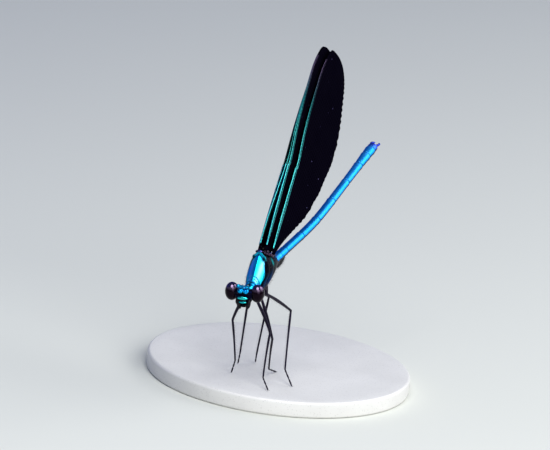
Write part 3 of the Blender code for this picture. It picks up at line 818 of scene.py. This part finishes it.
def ridge_lines(material, socket, share):
    """1 on lines at whole numbers of the socket's value, falling to 0 at that share of their spacing."""
    for operation, by in (("ADD", 0.5), ("FRACT", 0.0), ("SUBTRACT", 0.5), ("ABSOLUTE", 0.0)):
        socket = add_node(material, "Math", {0: socket, 1: by}, operation=operation)
    fall = {"Value": socket, "From Min": share, "From Max": 0.0}
    return add_node(material, "MapRange", fall, interpolation_type="SMOOTHSTEP")


# Wing membrane: two thin films with black pigment between them. It gives almost no highlight, only a faint
# violet bloom at its edges, slightly lighter veins and a few pale specks of dust about 0.1 mm across.
bloom = {"Sheen_Weight": 0.002, "Sheen_Roughness": 0.4, "Sheen_Tint": linear("#6A58C8")}
membrane, shader, place = new_material("wing_membrane", Specular_IOR_Level=0.0, **bloom)
grid = {0: add_node(membrane, "UVMap", uv_map="veins")}
across, rows = (add_node(membrane, "SeparateXYZ", grid, out) for out in ("X", "Y"))
row = add_node(membrane, "Math", {0: rows}, operation="FLOOR")
across = add_node(membrane, "Math", {0: row, 1: ROW_SHIFT, 2: across}, operation="MULTIPLY_ADD")
veins = {0: ridge_lines(membrane, rows, 0.13), 1: ridge_lines(membrane, across, 0.12)}
veins = add_node(membrane, "Math", veins, operation="MAXIMUM")
mottle = add_node(membrane, "TexNoise", {"Vector": place, "Scale": 420.0, "Detail": 5.0})
dust = add_node(membrane, "TexVoronoi", {"Vector": place, "Scale": 700.0})
dust = add_node(membrane, "MapRange", {"Value": dust, "From Min": 0.06, "From Max": 0.035})
film = blend(membrane, veins, blend(membrane, mottle, "#020105", "#05040A"), "#0A0814")
dress(
    shader,
    Base_Color=blend(membrane, dust, film, "#4E4A70"),
    Roughness=add_node(membrane, "MapRange", {"Value": mottle, "To Min": 0.42, "To Max": 0.6}),
    Normal=add_node(membrane, "Bump", {"Height": veins, "Strength": 0.35, "Distance": 0.00003}),
)

# Front veins: smooth metallic cuticle, turquoise on its ribs, dark between them, and violet-grey near the tip.
band_metal, shader, teal = cuticle("front_vein_cuticle", 0.3, "#22AEB2", "#5CDAD2", 0.1)
for mark, colour in (("gap", "#0A4A52"), ("fade", "#0C5A5E"), ("outer", "#4A3E58")):
    teal = blend(band_metal, mark, teal, colour)
dress(shader, Base_Color=teal)

for wing, (length, hinge, angles, tip_ahead) in WINGS.items():
    even = np.linspace(0, 1, WING_ROWS)
    share = 0.6 * np.sin(np.linspace(0.01, 1, WING_ROWS) * np.pi / 2) + 0.4 * even
    share[:2], share[-1] = (0.0, 0.004), 0.9996
    share = share[:, None]
    chord = np.linspace(0, 1, WING_ACROSS) ** 1.15
    closing = tip_round(share)
    lead = tip_ahead + (eased(share, *LEAD) - tip_ahead) * closing
    trail = (eased(share, TRAIL_AT, TRAIL_BY[wing]) + tip_ahead) * closing - tip_ahead
    along = share * length + 0 * chord
    scallop = SCALLOP_DEEP * np.sin(along * 2 * np.pi / SCALLOP) * chord**12
    scallop *= step_up(share, 0.05, 0.15) * (1 - step_up(share, 0.8, 0.95))
    behind_lead = chord * (lead + trail)
    lines = vein_lines(along, behind_lead) / PLEAT
    edge = step_up(behind_lead, 0.3, 1.6) * step_up(share, 0.03, 0.2) * (1 - step_up(share, 0.85, 1))
    pleats = PLEAT_DEEP * np.cos(2 * np.pi * lines) * edge
    pleats = pleats + CAMBER * np.sin(np.pi * chord) * step_up(share, 0.05, 0.5)
    film = (along, behind_lead - lead + scallop)
    thin = WING_HALF_THICK * (1 - 0.5 * chord**4)
    maps = {"veins": doubled(np.stack([along / CELL, lines], axis=-1))}

    out = np.linspace(*BAND_ENDS, BAND_ROWS)[:, None]
    over = np.linspace(0, 1, BAND_ACROSS)
    band_along = out * length + 0 * over
    ribs = sum(high * hump(over - at, wide) for at, high, wide in BAND_RIBS)
    rungs = np.clip(np.cos(2 * np.pi * band_along / CELL), 0, 1) ** 4
    raised = np.maximum(np.maximum(ribs, 0.62 * rungs), hump(out - NODE_AT, 0.006))
    band_thick = (BAND_HALF_THICK + RIB_HIGH * raised) * (1 - 0.45 * step_up(out, 0.45, 0.94))
    band_lead = tip_ahead + (eased(out, *LEAD) - tip_ahead) * tip_round(out)
    jog = NODE_JOG * step_up(out, NODE_AT - 0.004, NODE_AT + 0.004) * (1 - step_up(out, 0.44, 0.7))
    band = (band_along, over * BAND_WIDE * eased(out, *BAND_BY) + jog - band_lead - 0.03)
    shades = {
        "gap": 0.85 * doubled(np.clip(1 - 1.3 * raised, 0, 1)),
        "outer": doubled(step_up(out, 0.7, 0.9) + 0 * raised),
        "fade": doubled(step_up(out, 0.4, 0.8) + 0 * raised),
    }
    for side, label in SIDES:
        press = np.array(PRESS_BY[wing]) * (side < 0)
        sheet = wing_sheet(side, hinge, angles, *film, pleats - eased(share, PRESS_AT, press), thin)
        name, node = f"{wing}_membrane_{label}", f"{wing}_{label}"
        add_piece(name, sheet, membrane, [node], maps=maps)
        strip = wing_sheet(side, hinge, angles, *band, -eased(out, PRESS_AT, press), band_thick)
        add_piece(f"{wing}_front_veins_{label}", strip, band_metal, shades=shades)


# Six long thin legs: a short stout coxa, a ring-like trochanter, femur and tibia with combs of stiff spines,
# and a three-jointed foot with two claws. All are black cuticle with a faint violet gleam.
# Hip, knee, ankle and toe, from the middle of the thorax, level with the base
LEG_JOINTS = {
    "fore_left": ((0.80, -3.44, -3.41), (3.10, -1.60, -8.93), (3.50, -3.20, -15.55), (4.92, -4.09)),
    "fore_right": ((-0.80, -3.44, -3.41), (-3.43, -1.02, -8.48), (-2.62, -0.09, -14.94), (-3.05, 0.01)),
    "mid_left": ((1.05, -1.95, -3.53), (3.13, -0.45, -10.15), (1.60, 3.30, -16.10), (1.90, 5.60)),
    "mid_right": ((-1.05, -1.95, -3.53), (-3.26, 3.65, -7.09), (-3.73, 4.20, -14.86), (-4.30, 5.20)),
    "hind_left": ((1.25, -0.43, -3.43), (2.70, 6.55, -7.33), (4.90, 1.65, -15.05), (6.85, 0.45)),
    "hind_right": ((-1.25, -0.43, -3.43), (-1.41, 7.28, -6.21), (-1.90, 6.30, -15.20), (-2.60, 7.90)),
}
BODY_HEIGHT = 17.1
COXA_RISE = 1.3
COXA_LEAN = (-0.165, -0.12, 0)
TROCHANTER = 0.07  # its share of the way from hip to knee
LEG_BOW = 0.18
FOOT_RADIUS = 0.1
FOOT_CUTS = (0.0, 0.22, 0.55, 0.97)
CLAW_FROM = 0.95
CLAW_LONG = 0.4
CLAW_APART = 0.14
CLAW_THICK = 0.035
SPINE_STEP = 0.36
SPINE_RADIUS = 0.016
SPIKE_GUIDE = (0.37, 0.61, 0.70)  # no spike points this way
# Distance of the spines from the middle line, their length, and the shares of the limb where they start and end
FEMUR_COMB = (0.17, 0.5, 0.2, 0.97)
TIBIA_COMB = (0.11, 0.68, 0.04, 0.95)


def limb(start, end, at, radii, bow=0.0, rows=24, around=14):
    """A straight limb with radii given at shares of its length, its middle moved aside by bow."""
    share = np.linspace(0, 1, rows)[:, None]
    path = start + share * (end - start) + 4 * share * (1 - share) * bow
    return shell(tube(path, eased(share, at, radii)[:, 0], around) + BODY_PLACE), path


def bristles(roots, ways, lengths, thick, droop, places):
    """Thin three-sided spikes: a ring at each root, a slimmer ring half way, and a tip moved by droop.

    Each spike's map patch is 0.003 across, at its root's place.
    """
    ways = unit(ways)
    ring = hoops(ways, SPIKE_GUIDE, 3)
    reach = ways * lengths[:, None]
    middle = roots + reach * 0.5 + np.asarray(droop) * 0.25
    tip = roots + reach + np.asarray(droop)
    points = [roots[:, None] + ring * thick, middle[:, None] + ring * thick * 0.7, tip[:, None]]
    points = np.concatenate(points, axis=1).reshape(-1, 3)
    first = np.arange(len(roots))[:, None, None] * 7
    quads = (first + np.array([[0, 1, 4, 3], [1, 2, 5, 4], [2, 0, 3, 5]])).reshape(-1, 4)
    caps = (first + np.array([[3, 4, 6], [4, 5, 6], [5, 3, 6], [0, 2, 1]])).reshape(-1, 3)
    spread = np.array([[0, 0], [1, 0], [0.5, 1], [0, 0], [1, 0], [0.5, 1], [0.5, 0.5]]) * 0.003
    return points, quads.tolist() + caps.tolist(), (places[:, None] + spread).reshape(-1, 2)


def add_bristles(name, sets, material):
    """Several sets of spikes as one piece, with the map patches for its bake."""
    patches = np.concatenate([spikes[2] for spikes in sets])
    add_piece(name, joined([spikes[:2] for spikes in sets]), material, maps={"OFBake": patches})


# Leg cuticle: black through and through, its highlight dim and faintly violet.
gloss = {"Metallic": 0.0, "Specular_Tint": linear("#C8B4FF"), "Specular_IOR_Level": 0.22}
leg_metal = cuticle("leg_cuticle", 0.4, "#040306", "#0A070F", 0.3, **gloss)[0]
lean = turned((0, 0, 1), (TAIL_UP, 0, 0))
spine_sets = []
for number, (leg, (hip, knee, ankle, toe)) in enumerate(LEG_JOINTS.items()):
    hip, knee, ankle = np.array(hip), np.array(knee), np.array(ankle)
    thigh, shin, sole = knee - hip, ankle - knee, np.array([*toe, FOOT_RADIUS - BODY_HEIGHT]) - ankle
    inner = np.array(COXA_LEAN) * (np.sign(hip[0]), 1, 1)
    trochanter = hip + thigh * TROCHANTER
    bow = unit(np.cross(np.cross(thigh, shin), ankle - hip))
    bow = bow * LEG_BOW * np.sign(np.dot(bow, knee - (hip + ankle) / 2))
    coxa, _ = limb(hip + lean * COXA_RISE + inner, hip, (0, 0.5, 1), (0.46, 0.40, 0.27), rows=16, around=18)
    ring, _ = limb(hip, trochanter, (0, 0.5, 1), (0.22, 0.25, 0.19), rows=10, around=16)
    femur, femur_path = limb(trochanter, knee, (0, 0.3, 0.9, 1), (0.2, 0.25, 0.19, 0.18), bow)
    knob, _ = limb(knee - thigh * 0.012, knee + shin * 0.02, (0, 0.5, 1), (0.17, 0.205, 0.16), rows=8)
    tibia, tibia_path = limb(knee, ankle, (0, 0.05, 0.5, 1), (0.15, 0.165, 0.145, 0.13), bow * -0.5)
    foot = []
    for start, end in zip(FOOT_CUTS[:-1], FOOT_CUTS[1:]):
        ends, radii = (ankle + sole * start, ankle + sole * end), (0.08, 0.1, FOOT_RADIUS, 0.075)
        foot.append(limb(*ends, (0, 0.1, 0.85, 1), radii, rows=12, around=10)[0])
    toe_way = unit(sole)
    level = unit(np.cross((0, 0, 1), toe_way))
    reach = np.linspace(0, 1, 12)
    thick = CLAW_THICK * (1 - reach) + 0.006
    reach = reach[:, None]
    for aside in (-1, 1):
        claw = ankle + sole * CLAW_FROM + reach * (toe_way * (1, 1, 0) * CLAW_LONG + level * aside * CLAW_APART)
        claw = claw - reach**2 * (0, 0, 0.6 * FOOT_RADIUS)
        foot.append(shell(tube(claw, thick, 8) + BODY_PLACE))
    parts = {"coxa": [coxa, ring], "femur": [femur], "tibia": [knob, tibia], "tarsus": foot}
    for kind, shells in parts.items():
        add_piece(f"{kind}_skin_{leg}", joined(shells), leg_metal, [f"{kind}_{leg}"])
    for path, (out, spike, first, last) in ((femur_path, FEMUR_COMB), (tibia_path, TIBIA_COMB)):
        long = np.linalg.norm(path[-1] - path[0])
        share = np.linspace(first, last, int(long * (last - first) / SPINE_STEP))
        even = np.linspace(0, 1, len(path))
        at = np.stack([np.interp(share, even, path[:, k]) for k in range(3)], axis=-1)
        down = (path[-1] - path[0]) / long
        facing = unit(np.cross(down, bow))
        lengths = spike * (0.75 + 0.25 * np.sin(share * np.pi))
        for aside in (-1, 1):
            slant = facing * aside - unit(bow)
            roots, ways = at + slant * 0.56 * out + BODY_PLACE, slant * 0.62 + down * 0.5 + 0 * at
            places = np.stack([0.08 + 0.14 * number + 0.03 * aside + 0 * share, 0.1 + 0.8 * share], axis=-1)
            spine_sets.append(bristles(roots, ways, lengths, SPINE_RADIUS, down * 0.06, places))
add_bristles("leg_spines", spine_sets, leg_metal)


# Fine soft hairs stand on the thorax, thickest on its sides and underside, and shorter ones under the second
# ring and on the mouth parts. They are grey-brown or black, up to about 0.5 mm long, and drawn a little thicker
# than real, so that they show.
THORAX_HAIRS = 1500
LOBE_HAIRS = 420
MOUTH_HAIRS = 60  # on each lobe
HAIR_RADIUS = 0.006
MOUTH_HAIR_RADIUS = 0.005
rng = np.random.default_rng(7)


def scattered(put, rings, weight, count, low, high, thick, lean):
    """Hairs on a grid of points, more where weight is high, standing off the surface and leaning by lean.

    They are made in the grid's own frame and put in the shared one.
    """
    normals = outward(rings)
    chance = np.ravel(weight) * np.linalg.norm(np.gradient(rings, axis=0), axis=-1).ravel()
    picked = rng.choice(chance.size, count, p=chance / chance.sum())
    row, column = np.unravel_index(picked, rings.shape[:2])
    roots = rings[row, column] - 0.01 * normals[row, column]
    ways = normals[row, column] + lean + rng.normal(0, 0.18, (count, 3))
    places = np.stack([row / rings.shape[0], column / rings.shape[1]], axis=-1) * 0.99
    points, faces, patches = bristles(roots, ways, rng.uniform(low, high, count), thick, (0, 0.05, 0), places)
    return put(points), faces, patches


# Hair: fine threads of grey-brown cuticle, which the light catches as pale dashes.
hair, shader, place = new_material("body_hair", Roughness=0.5, Specular_IOR_Level=0.4)
tone = add_node(hair, "TexNoise", {"Vector": place, "Scale": 1500.0})
dress(shader, Base_Color=blend(hair, tone, "#2C2A30", "#7A767A"))

weight = (0.25 + 0.75 * step_up(-thorax[..., 2], 0.2, 1.4)) * (1 - 0.85 * front)
weight = weight * step_up(2.6 - thorax[..., 2], 0, 0.4)
hairs = scattered(on_body, thorax, weight, THORAX_HAIRS, 0.25, 0.55, HAIR_RADIUS, (0, 0.35, -0.1))
add_bristles("thorax_hairs", [hairs], hair)
weight = step_up(lobe_middle[2] + 0.1 - lobe[..., 2], 0, 0.3) + 0.02
hairs = scattered(on_body, lobe, weight, LOBE_HAIRS, 0.2, 0.48, HAIR_RADIUS, (0, 0.6, -0.2))
add_bristles("lobe_hairs", [hairs], leg_metal)
coats = []
for number, bare in enumerate(mouth_lobes):
    weight = step_up(-outward(bare)[..., 1], -0.2, 0.4) + 0.02
    hairs = scattered(on_head, bare, weight, MOUTH_HAIRS, 0.1, 0.26, MOUTH_HAIR_RADIUS, (0, -0.2, -0.5))
    patches = hairs[2] * (1 / len(mouth_lobes), 1) + (number / len(mouth_lobes), 0)
    coats.append((*hairs[:2], patches))
add_bristles("mouth_hairs", coats, leg_metal)


# The set: a plain pale floor, large soft white lights above, beside and behind, a weak blue one from the
# left like open sky, and even light from all round. None of it is part of the object.
FLOOR_HALF = 4000.0
CAMERA_AZIMUTH = 22.32
CAMERA_ELEVATION = 15.9
CAMERA_ROLL = 6.87
CAMERA_AWAY = 1500.0
SENSOR_WIDE = 36.0
VIEW_WIDE = 82.5
LOOK_RIGHT = 1.875  # the picture's middle against the middle of the thorax
LOOK_UP = 6.675
SOFT_LIGHTS = (
    # name, azimuth, elevation, distance, width, watts, colour
    ("overhead", 22.0, 66.0, 420.0, 330.0, 1.3, "#FFFFFF"),
    ("side", 52.0, 24.0, 450.0, 360.0, 1.8, "#FFFFFF"),
    ("rear", 134.0, 29.0, 420.0, 380.0, 1.25, "#FFFFFF"),
    ("sky", -92.0, 14.0, 420.0, 170.0, 0.06, "#2048FF"),
)

floor_paint, shader, place = new_material("matt_floor", Roughness=0.9, Specular_IOR_Level=0.2)
tint = add_node(floor_paint, "TexNoise", {"Vector": place, "Scale": 6.0})
dress(shader, Base_Color=blend(floor_paint, tint, "#C9CBC2", "#CED0C7"))
floor_mesh = bpy.data.meshes.new("floor")
corner = FLOOR_HALF * MM
corners = [(-corner, -corner, 0), (corner, -corner, 0), (corner, corner, 0), (-corner, corner, 0)]
floor_mesh.from_pydata(corners, [], [(0, 1, 2, 3)])
floor_mesh.materials.append(floor_paint)
floor = add_object("floor", floor_mesh)


def looking(azimuth, elevation):
    """The direction from the object to an azimuth and elevation, with its level right and its up."""
    a, e = np.radians((azimuth, elevation))
    away = np.array([np.sin(a) * np.cos(e), -np.cos(a) * np.cos(e), np.sin(e)])
    right = np.array([np.cos(a), np.sin(a), 0])
    return away, right, np.cross(away, right)


def aimed(thing, middle, away, right, up, distance):
    """Puts a camera or a light at a distance from a point, so that it looks back at it."""
    place = np.array(middle) + away * distance
    rows = [[right[k], up[k], away[k], place[k] * MM] for k in range(3)]
    thing.matrix_world = Matrix(rows + [[0, 0, 0, 1]])


away, level_right, level_up = looking(CAMERA_AZIMUTH, CAMERA_ELEVATION)
roll = np.radians(CAMERA_ROLL)
right = level_right * np.cos(roll) + level_up * np.sin(roll)
up = level_up * np.cos(roll) - level_right * np.sin(roll)
camera_data = bpy.data.cameras.new("camera")
camera_data.sensor_width = SENSOR_WIDE
camera_data.lens = SENSOR_WIDE * CAMERA_AWAY / VIEW_WIDE
camera_data.clip_start = 0.01
camera_data.clip_end = 20.0
camera = add_object("camera", camera_data)
aimed(camera, np.array(BODY_PLACE) + right * LOOK_RIGHT + up * LOOK_UP, away, right, up, CAMERA_AWAY)
bpy.context.scene.camera = camera

for name, azimuth, elevation, distance, wide, watts, tint in SOFT_LIGHTS:
    lamp_data = bpy.data.lights.new(name, "AREA")
    lamp_data.shape = "DISK"
    lamp_data.size = wide * MM
    lamp_data.energy = watts
    lamp_data.color = linear(tint)[:3]
    lamp = add_object(name, lamp_data)
    lamp.visible_camera = False
    aimed(lamp, BODY_PLACE, *looking(azimuth, elevation), distance)
world = bpy.data.worlds.new("studio")
bpy.context.scene.world = world
world.use_nodes = True
world.node_tree.nodes["Background"].inputs["Color"].default_value = linear("#90ABFF")
world.node_tree.nodes["Background"].inputs["Strength"].default_value = 0.25
bpy.context.scene.view_settings.view_transform = "Standard"
